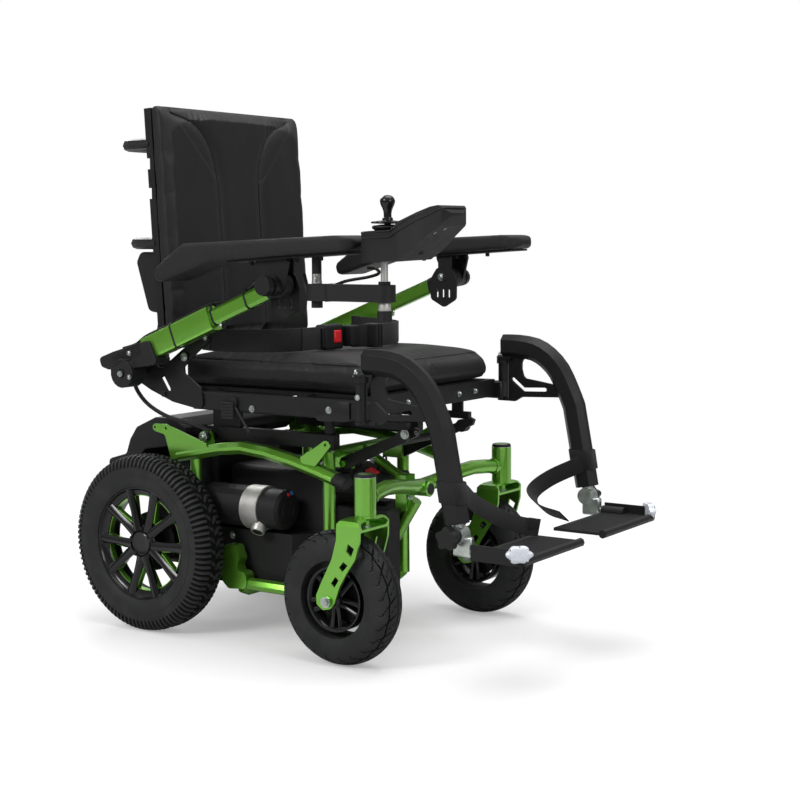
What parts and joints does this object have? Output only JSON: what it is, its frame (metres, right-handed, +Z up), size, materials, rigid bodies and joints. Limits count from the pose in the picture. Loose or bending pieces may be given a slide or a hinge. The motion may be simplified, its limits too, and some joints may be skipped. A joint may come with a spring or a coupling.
{
  "type": "powered wheelchair",
  "caption": "Powered wheelchair: arched side frame, large rear drive wheels, swivelling front casters, padded seat and back, flip-up arms with a joystick, swing-away leg rests.",
  "frame": {"origin": "centre of the chair's outer box, on the ground under the wheels", "axes": "+Z up, the occupant faces -Y, the occupant's right (the joystick's side) is -X"},
  "size_m": [0.698, 1.1017, 1.081],
  "materials": {
    "green_paint": "gloss",
    "black_paint": "satin",
    "black_plastic": "matte",
    "gloss_black": "gloss",
    "tyre": "matte",
    "rubber": "matte",
    "upholstery": "satin",
    "webbing": "matte",
    "zinc": "satin",
    "red_plastic": "satin",
    "grey_plastic": "matte"
  },
  "bodies": {
    "base": {"base_frame": "green_paint", "battery_box": "black_plastic", "rear_cover": "black_plastic", "arch_beam_right": "green_paint", "arch_beam_left": "green_paint", "motor_right": "black_plastic", "motor_left": "black_plastic"},
    "drive_wheel_right": {"drive_tyre_right": "tyre", "drive_rim_right": "gloss_black"},
    "drive_wheel_left": {"drive_tyre_left": "tyre", "drive_rim_left": "gloss_black"},
    "freewheel_lever": {"freewheel_lever": "red_plastic"},
    "front_axle": {"front_axle": "green_paint"},
    "caster_right": {"caster_fork_right": "green_paint"},
    "caster_left": {"caster_fork_left": "green_paint"},
    "caster_wheel_right": {"caster_tyre_right": "tyre", "caster_rim_right": "gloss_black"},
    "caster_wheel_left": {"caster_tyre_left": "tyre", "caster_rim_left": "gloss_black"},
    "seat": {"seat_frame": "black_paint", "seat_cushion": "upholstery", "belt_right": "webbing", "belt_left": "webbing", "side_plate_right": "black_paint", "side_plate_left": "black_paint", "cable_lower": "black_plastic"},
    "tilt_lever": {"tilt_lever": "black_paint"},
    "buckle_button": {"buckle_button": "red_plastic"},
    "seat_lever": {"seat_lever": "black_plastic"},
    "back": {"back_frame": "black_paint", "back_cushion": "upholstery", "back_cover": "black_plastic"},
    "arm_right": {"arm_tube_right": "green_paint", "arm_cap_right": "black_plastic", "cable_arm": "black_plastic"},
    "arm_left": {"arm_tube_left": "green_paint", "arm_cap_left": "black_plastic"},
    "pad_right": {"arm_pad_right": "upholstery", "pad_bracket_right": "black_paint"},
    "pad_left": {"arm_pad_left": "upholstery", "pad_bracket_left": "black_paint"},
    "joystick_link": {"joystick_link": "black_plastic", "cable_joystick": "black_plastic"},
    "joystick_box": {"joystick_box": "black_plastic", "joystick_boot": "rubber"},
    "joystick_gimbal": {"joystick_gimbal": "zinc"},
    "joystick_knob": {"joystick_knob": "gloss_black"},
    "joystick_button_1": {"joystick_button_1": "grey_plastic"},
    "joystick_button_2": {"joystick_button_2": "grey_plastic"},
    "joystick_button_3": {"joystick_button_3": "grey_plastic"},
    "hanger_right": {"hanger_right": "black_paint", "heel_strap_right": "webbing"},
    "hanger_left": {"hanger_left": "black_paint", "heel_strap_left": "webbing"},
    "foot_tube_right": {"foot_tube_right": "zinc"},
    "foot_tube_left": {"foot_tube_left": "zinc"},
    "star_knob_right": {"star_knob_right": "black_plastic"},
    "star_knob_left": {"star_knob_left": "black_plastic"},
    "footplate_right": {"footplate_right": "black_plastic"},
    "footplate_left": {"footplate_left": "black_plastic"}
  },
  "joints": [
    {"name": "drive_wheel_right", "type": "hinge", "parent": "base", "child": "drive_wheel_right", "pos_m": [-0.2406, 0.368, 0.183], "axis": [1, 0, 0], "continuous": true},
    {"name": "drive_wheel_left", "type": "hinge", "parent": "base", "child": "drive_wheel_left", "pos_m": [0.2406, 0.368, 0.183], "axis": [1, 0, 0], "continuous": true},
    {"name": "freewheel_lever", "type": "hinge", "parent": "base", "child": "freewheel_lever", "pos_m": [-0.046, -0.054, 0.336], "axis": [0, 0, -1], "range_deg": [0, 60]},
    {"name": "front_axle", "type": "hinge", "parent": "base", "child": "front_axle", "pos_m": [0, -0.124, 0.306], "axis": [0, 1, 0], "range_deg": [-4, 4]},
    {"name": "caster_right", "type": "hinge", "parent": "front_axle", "child": "caster_right", "pos_m": [-0.248, -0.19, 0.293], "axis": [0, 0, 1], "continuous": true},
    {"name": "caster_wheel_right", "type": "hinge", "parent": "caster_right", "child": "caster_wheel_right", "pos_m": [-0.248, -0.134, 0.13], "axis": [1, 0, 0], "continuous": true},
    {"name": "caster_left", "type": "hinge", "parent": "front_axle", "child": "caster_left", "pos_m": [0.248, -0.19, 0.293], "axis": [0, 0, 1], "continuous": true},
    {"name": "caster_wheel_left", "type": "hinge", "parent": "caster_left", "child": "caster_wheel_left", "pos_m": [0.248, -0.134, 0.13], "axis": [1, 0, 0], "continuous": true},
    {"name": "seat_tilt", "type": "hinge", "parent": "base", "child": "seat", "pos_m": [0, 0.259, 0.404], "axis": [-1, 0, 0], "range_deg": [0, 10]},
    {"name": "tilt_lever_turn", "type": "hinge", "parent": "base", "child": "tilt_lever", "pos_m": [0, -0.034, 0.36], "axis": [-1, 0, 0], "range_deg": [0, 31]},
    {"name": "buckle_button", "type": "slide", "parent": "seat", "child": "buckle_button", "axis": [0, 1, 0], "range_m": [0, 0.003], "stiffness_N_per_m": 300},
    {"name": "seat_lever", "type": "hinge", "parent": "seat", "child": "seat_lever", "pos_m": [-0.2555, 0.12, 0.487], "axis": [-1, 0, 0], "range_deg": [0, 25], "stiffness_Nm_per_rad": 0.1},
    {"name": "back_recline", "type": "hinge", "parent": "seat", "child": "back", "pos_m": [0, 0.355, 0.54], "axis": [-1, 0, 0], "range_deg": [0, 30]},
    {"name": "arm_right", "type": "hinge", "parent": "seat", "child": "arm_right", "pos_m": [-0.294, 0.355, 0.54], "axis": [-1, 0, 0], "range_deg": [0, 85]},
    {"name": "pad_right", "type": "hinge", "parent": "arm_right", "child": "pad_right", "pos_m": [-0.294, -0.032, 0.7205], "axis": [-1, 0, 0], "range_deg": [-10, 10]},
    {"name": "arm_left", "type": "hinge", "parent": "seat", "child": "arm_left", "pos_m": [0.294, 0.355, 0.54], "axis": [-1, 0, 0], "range_deg": [0, 85]},
    {"name": "pad_left", "type": "hinge", "parent": "arm_left", "child": "pad_left", "pos_m": [0.294, -0.032, 0.7205], "axis": [-1, 0, 0], "range_deg": [-10, 10]},
    {"name": "joystick_link", "type": "hinge", "parent": "pad_right", "child": "joystick_link", "pos_m": [-0.294, -0.118, 0.7085], "axis": [0, 0, -1], "range_deg": [0, 90]},
    {"name": "joystick_box", "type": "hinge", "parent": "joystick_link", "child": "joystick_box", "pos_m": [-0.294, -0.27, 0.724], "axis": [0, 0, 1], "range_deg": [-60, 60]},
    {"name": "joystick_pitch", "type": "hinge", "parent": "joystick_box", "child": "joystick_gimbal", "pos_m": [-0.294, -0.278, 0.8195], "axis": [1, 0, 0], "range_deg": [-12, 12], "stiffness_Nm_per_rad": 0.5},
    {"name": "joystick_roll", "type": "hinge", "parent": "joystick_gimbal", "child": "joystick_knob", "pos_m": [-0.294, -0.278, 0.8195], "axis": [0, 1, 0], "range_deg": [-12, 12], "stiffness_Nm_per_rad": 0.5},
    {"name": "joystick_button_1", "type": "slide", "parent": "joystick_box", "child": "joystick_button_1", "axis": [0, -0.37, -0.929], "range_m": [0, 0.0012], "stiffness_N_per_m": 400},
    {"name": "joystick_button_2", "type": "slide", "parent": "joystick_box", "child": "joystick_button_2", "axis": [0, -0.37, -0.929], "range_m": [0, 0.0012], "stiffness_N_per_m": 400},
    {"name": "joystick_button_3", "type": "slide", "parent": "joystick_box", "child": "joystick_button_3", "axis": [0, -0.37, -0.929], "range_m": [0, 0.0012], "stiffness_N_per_m": 400},
    {"name": "hanger_right", "type": "hinge", "parent": "seat", "child": "hanger_right", "pos_m": [-0.257, -0.19, 0.552], "axis": [0, 0, -1], "range_deg": [0, 90]},
    {"name": "foot_tube_right", "type": "slide", "parent": "hanger_right", "child": "foot_tube_right", "axis": [0, -0.1685, -0.9857], "range_m": [0, 0.06], "deforming": ["heel_strap_right"]},
    {"name": "star_knob_right", "type": "hinge", "parent": "foot_tube_right", "child": "star_knob_right", "pos_m": [-0.267, -0.39, 0.273], "axis": [1, 0, 0], "range_deg": [0, 360]},
    {"name": "footplate_right", "type": "hinge", "parent": "foot_tube_right", "child": "footplate_right", "pos_m": [-0.25, -0.4305, 0.2495], "axis": [0, -1, 0], "range_deg": [0, 90], "deforming": ["heel_strap_right"]},
    {"name": "hanger_left", "type": "hinge", "parent": "seat", "child": "hanger_left", "pos_m": [0.257, -0.19, 0.552], "axis": [0, 0, 1], "range_deg": [0, 90]},
    {"name": "foot_tube_left", "type": "slide", "parent": "hanger_left", "child": "foot_tube_left", "axis": [0, -0.1685, -0.9857], "range_m": [0, 0.06], "deforming": ["heel_strap_left"]},
    {"name": "star_knob_left", "type": "hinge", "parent": "foot_tube_left", "child": "star_knob_left", "pos_m": [0.267, -0.39, 0.273], "axis": [1, 0, 0], "range_deg": [0, 360]},
    {"name": "footplate_left", "type": "hinge", "parent": "foot_tube_left", "child": "footplate_left", "pos_m": [0.25, -0.4305, 0.2495], "axis": [0, 1, 0], "range_deg": [0, 90], "deforming": ["heel_strap_left"]}
  ],
  "couplings": [
    {"joint": "tilt_lever_turn", "follows": "seat_tilt", "ratio": 3.05}
  ]
}
